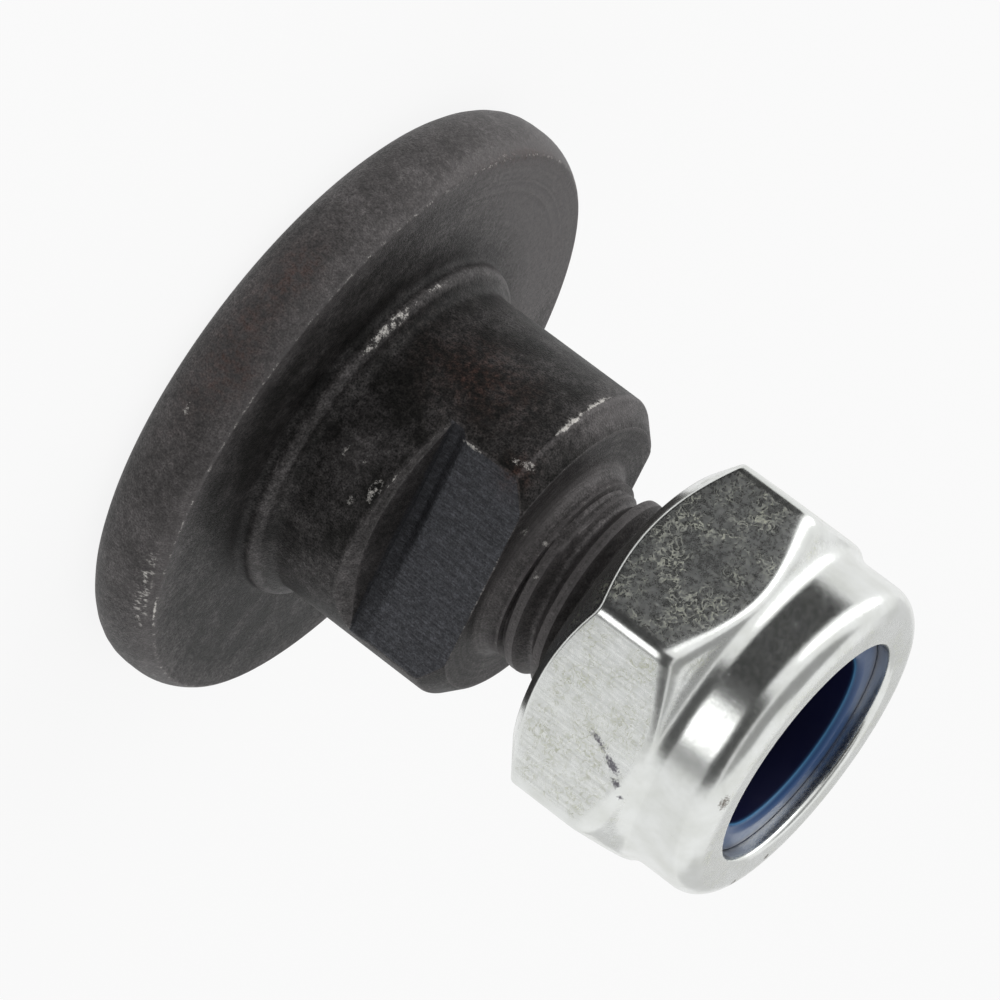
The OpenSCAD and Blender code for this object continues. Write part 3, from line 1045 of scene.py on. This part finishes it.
class BOLT_OT_add_blade_bolt(Operator):
    """Add the forged bolt: head, shank with two flats, neck and thread"""

    bl_idname = "bolt.add_blade_bolt"
    bl_label = "Add blade bolt"

    def execute(self, context):
        settings = context.scene.blade_bolt_settings
        m = in_mm(settings)
        grid = blade_bolt_grid(m)
        radius, height, angle = grid
        bend = outward_bend(grid)
        face_z, foot_z, end_z = m.head_t, m.foot_z, m.shank_top
        on_face = np.abs(height - face_z) < ON_FACE
        on_end = height > end_z - ON_FACE
        on_flat = np.arange(angle.shape[1]) // ZONE_COLUMNS % 2 == 0
        pressed = on_flat & (height > foot_z - ON_FOOT) & (height < end_z - ON_FACE)
        on_wall = on_flat & (height > m.rim_z - 1) & (height < foot_z - ON_FOOT)
        on_wall &= radius < m.shank_r - ON_FACE
        on_rim = on_wall & (radius > m.shank_r - 0.9 * RIM_BEVEL)
        past_shank = on_end & (height < m.thread_z + 0.3)
        # Paler where worn by handling at listed places, on ridges, on the shank's end and along the crisp
        # edge round the seating face, and painted highlight where surfaces face the light: the seating face's
        # far side, the neck's fillet, the bevel, the wall and its rim
        rubbed_and_painted_sheen = 0.55 * spots(grid, BOLT_RUBBED_AND_SHEEN) + 0.45 * spots(grid, BOLT_PAINTED_SHEEN)
        rubbed_and_painted_sheen += 0.4 * smooth_step((bend - 0.4) / 2) + 0.1 * on_rim + 0.25 * on_wall
        rubbed_and_painted_sheen += 0.3 * on_end * (1 + (radius < m.neck_r + m.neck_fillet))
        rubbed_and_painted_sheen += 0.35 * bell(np.hypot(radius - m.edge_r, height - face_z) / 0.7)
        # Painted shade: blacker in hollows, in the relief groove and on the seating face round the root ring
        hollows = [
            smooth_step((-bend - 0.6) / 2) * (height < m.rim_z - 1),
            0.6 * pressed * in_groove(height, m),
            0.7 * on_face * smooth_step((SHADED_FACE_R - radius) / 2),
        ]
        attributes = {
            "edge": np.maximum(EDGE_WEAR * smooth_step((bend - 0.8) / 5), spots(grid, BOLT_BRIGHT)),
            "scuff": SCUFF_WEAR * spots(grid, BOLT_SCUFFS),
            "hatched": spots(grid, BOLT_HATCHED),
            "rust": spots(grid, BOLT_RUST),
            "pressed": pressed * 1.0,
            "rubbed_and_painted_sheen": np.minimum(rubbed_and_painted_sheen, 1),
            "hollow": np.maximum.reduce(hollows),
            "turned": on_face * (0.2 + 0.8 * spots(grid, FACE_LINES)) + past_shank * 0.5,
            "lathe_place": radius - height,
        }
        piece = grid_piece("forged_bolt", grid, attributes, black_oxide(settings))
        settle(piece, "blade_bolt", "bolt")
        return {"FINISHED"}


class BOLT_OT_add_lock_nut(Operator):
    """Add the zinc-plated lock nut with its rolled lip and its thread"""

    bl_idname = "bolt.add_lock_nut"
    bl_label = "Add lock nut"

    def execute(self, context):
        settings = context.scene.lock_nut_settings
        m = in_mm(settings)
        grid = lock_nut_grid(m, settings.corner_turn)
        radius, height, _ = grid
        bend = outward_bend(grid)
        above = height - m.base_z
        on_lip = (above > m.nut_h - 0.05) & (radius > m.mouth_r + 0.2)
        on_hexagon = smooth_step((radius - m.collar_r - 0.25) / 0.2)
        attributes = {
            "stain": spots(grid, NUT_STAINS),
            "nick": spots(grid, NUT_NICKS),
            "flat": np.maximum(0.6 * on_lip, on_hexagon * (1 - smooth_step((bend - 0.15) / 0.4))),
        }
        piece = grid_piece("zinc_nut", grid, attributes, bright_zinc(settings))
        settle(piece, "lock_nut", "nut")
        return {"FINISHED"}


class BOLT_OT_add_nylon_ring(Operator):
    """Add the nylon ring under the nut's lip"""

    bl_idname = "bolt.add_nylon_ring"
    bl_label = "Add nylon ring"

    def execute(self, context):
        settings = context.scene.nylon_ring_settings
        m = in_mm(settings)
        grid = nylon_ring_grid(m)
        radius, height, _ = grid
        # Painted highlight along the inner edge, and painted shade in the bore and beside the lip
        inside = radius < m.bore_r + m.edge_round
        edge_z = ring_high.z + m.crown - 0.8 * m.edge_round
        # Painted shade, darker towards the ring's outer edge under the lip
        lip_shade = smooth_step((radius - m.crown_r + 0.5) / 0.5)
        attributes = {
            "bore": np.maximum(smooth_step((edge_z - height) / 0.12) * inside, 0.7 * lip_shade),
            "edge": bell((height - edge_z) / 0.06) * inside,
        }
        piece = grid_piece("blue_ring", grid, attributes, dyed_nylon(settings))
        settle(piece, "nylon_ring", "ring")
        return {"FINISHED"}


# Where the camera stands, in metres, its directions to the right and up in the picture, its sensor's width,
# and the nearest and farthest that it sees
CAMERA_PLACE = Vector((0.23436, -0.14171, 0.09768))
CAMERA_RIGHT = Vector((-0.516465, -0.391274, 0.761688))
CAMERA_UP = Vector((-0.255887, -0.778338, -0.573333))
SENSOR_MM = 36
CLIP_RANGE = (0.01, 20)
# Middle of the nut, from which the cards are laid out, how far off they stand, and their height over the
# floor, in metres
NUT_SIGHT = Vector((0, 0, 0.025))
CARD_DISTANCE = 0.15
CARD_LIFT = 0.0003
# What the nut mirrors besides white: span of azimuths and of elevations in degrees, and brightness. Their
# edges give the dark and bright bands on its corners and its collar
CARDS = [
    ("black_floor_card", (-128, -42), (-42, -3), 0.03),
    ("middle_floor_card", (-42, 12), (-24, -6), 0.08),
    ("low_floor_card", (-42, 26), (-42, -24), 0.08),
    ("side_floor_card", (13, 22), (-24, -7), 0.35),
    ("dark_front_card", (-45, 24), (-6, 36), 0.08),
    ("grey_top_card", (-150, 25), (44, 80), 0.35),
    ("pale_back_card", (100, 185), (4, 34), 0.7),
]
# The bright oval in the collar's highlight, in front of the dark cards: middle and half width of its azimuths
# and elevations, brightness, and the share of their distance at which it stands
OVAL_MIDDLE = (-9, -15)
OVAL_HALF = (17, 8.5)
OVAL_LEVEL = 2.2
OVAL_REACH = 0.98
# Place and size of the lamp, and half the floor's width, in metres
LAMP_PLACE = (-0.148, -0.304, 0.115)
LAMP_SIZE = (0.5, 0.1)
FLOOR_HALF = 2.5


def sheet(name, points, material):
    """A sheet for the studio, linked to the scene, from two or more rows of points in metres."""
    piece = linked(name, grid_mesh(name, points, material))
    return piece


def oblong(azimuths, elevations):
    """Directions over a span of azimuths and of elevations, in degrees: a grid of both."""
    return np.meshgrid(np.linspace(*azimuths, 13), np.linspace(*elevations, 7))


def oval(middle, half):
    """Directions over an oval, in degrees: its middle plus a share of its half width times the cosine and
    sine of a turn, with the shares from 0 to 1 in rows."""
    share = shares(6)
    turn = np.linspace(0, FULL_TURN, 41)
    return middle[0] + half[0] * share * np.cos(turn), middle[1] + half[1] * share * np.sin(turn)


def card(name, directions, level, nearer=1.0):
    """A card that only reflections show, which covers a grid of azimuths and elevations as the nut sees them:
    each point is a direction times CARD_DISTANCE, or less where the floor comes first."""
    turn, tilt = np.radians(directions)
    to_floor = (NUT_SIGHT.z - CARD_LIFT) / np.maximum(np.sin(-tilt), 1e-3)
    reach = np.minimum(CARD_DISTANCE, to_floor) * nearer
    away = np.stack([np.cos(tilt) * np.cos(turn), np.cos(tilt) * np.sin(turn), np.sin(tilt)], axis=-1)
    piece = sheet(name, np.array(NUT_SIGHT) + reach[..., None] * away, plain_card(name, level))
    for ray in ("camera", "diffuse", "shadow"):
        setattr(piece, "visible_" + ray, False)


def seen_rays(add):
    """1 for rays from the camera, off glossy surfaces and through clear ones, and 0 for the others."""
    path = add("LightPath").node.outputs
    seen = path["Is Camera Ray"]
    for ray in ("Is Glossy Ray", "Is Transmission Ray"):
        seen = add("Math", (seen, path[ray]), operation="MAXIMUM")
    return seen


def paper_floor(glow):
    """White paper sweep, matt: it shows white, and a share of it still takes the object's shadow."""
    material, add = new_material("White paper sweep")
    share = add("Math", (seen_rays(add), glow), operation="MULTIPLY")
    matt = add("BsdfDiffuse", {"Color": rgba(linear("f4f4f4"))})
    white = add("Emission", (WHITE, 1.0))
    add("OutputMaterial", (add("MixShader", (share, matt, white)),))
    return material


def plain_card(name, level):
    """Card of one even grey, from black at 0 to white at 1 and lit brighter above that."""
    material, add = new_material(name)
    add("OutputMaterial", (add("Emission", (WHITE, level)),))
    return material


def add_lamp(name, place, target, size, power):
    """An oblong soft lamp that faces a point."""
    lamp = bpy.data.lights.new(name, "AREA")
    lamp.shape = "RECTANGLE"
    lamp.size, lamp.size_y = size
    lamp.energy = power
    aim = (Vector(target) - Vector(place)).to_track_quat("-Z", "Y")
    linked(name, lamp).matrix_world = Matrix.Translation(place) @ aim.to_matrix().to_4x4()


class BOLT_OT_add_studio(Operator):
    """Add the camera, the soft lamp, the white floor and world, and the cards that the nut mirrors"""

    bl_idname = "bolt.add_studio"
    bl_label = "Add studio"

    def execute(self, context):
        scene = context.scene
        settings = scene.studio_settings
        camera = bpy.data.cameras.new("Camera")
        camera.sensor_width = SENSOR_MM
        camera.lens = settings.lens
        camera.clip_start, camera.clip_end = CLIP_RANGE
        camera.dof.use_dof = False
        turn = Matrix((CAMERA_RIGHT, CAMERA_UP, CAMERA_RIGHT.cross(CAMERA_UP))).transposed()
        scene.camera = linked("Camera", camera)
        scene.camera.matrix_world = Matrix.Translation(CAMERA_PLACE) @ turn.to_4x4()

        ends = (-FLOOR_HALF, FLOOR_HALF)
        floor = np.array([[(x, y, 0) for x in ends] for y in ends])
        sheet("floor", floor, paper_floor(settings.floor_glow))
        for name, azimuths, elevations, level in CARDS:
            card(name, oblong(azimuths, elevations), level)
        card("lit_floor_card", oval(OVAL_MIDDLE, OVAL_HALF), OVAL_LEVEL, OVAL_REACH)

        world = bpy.data.worlds.new("White room")
        world.use_nodes = True
        world.node_tree.nodes.clear()
        add = partial(add_node, world.node_tree)
        strength = add("MapRange", (seen_rays(add), 0, 1, settings.world_level, 1))
        add("OutputWorld", (add("Background", (WHITE, strength)),))
        scene.world = world

        add_lamp("key", LAMP_PLACE, NUT_SIGHT, LAMP_SIZE, settings.key_power)
        scene.view_settings.view_transform = "Standard"
        return {"FINISHED"}


class BOLT_PT_sidebar(Panel):
    """Lists the steps that make the blade bolt"""

    bl_idname = "BOLT_PT_sidebar"
    bl_label = "Mower blade bolt"
    bl_space_type = "VIEW_3D"
    bl_region_type = "UI"
    bl_category = "Bolt"

    def draw(self, context):
        for operator in OPERATORS:
            self.layout.operator(operator.bl_idname)
        for name, group in SETTINGS.items():
            column = self.layout.column(align=True)
            for key in group.__annotations__:
                column.prop(getattr(context.scene, name), key)


OPERATORS = (BOLT_OT_add_blade_bolt, BOLT_OT_add_lock_nut, BOLT_OT_add_nylon_ring, BOLT_OT_add_studio)


def register():
    """Registers the settings, the operators and the panel."""
    for name, group in SETTINGS.items():
        bpy.utils.register_class(group)
        setattr(bpy.types.Scene, name, PointerProperty(type=group))
    for cls in (*OPERATORS, BOLT_PT_sidebar):
        bpy.utils.register_class(cls)


def unregister():
    """Takes away all that register adds."""
    for cls in (BOLT_PT_sidebar, *reversed(OPERATORS)):
        bpy.utils.unregister_class(cls)
    for name, group in reversed(SETTINGS.items()):
        delattr(bpy.types.Scene, name)
        bpy.utils.unregister_class(group)


def main():
    register()
    bpy.ops.bolt.add_blade_bolt()
    bpy.ops.bolt.add_lock_nut()
    bpy.ops.bolt.add_nylon_ring()
    bpy.ops.bolt.add_studio()


if __name__ == "__main__":
    main()
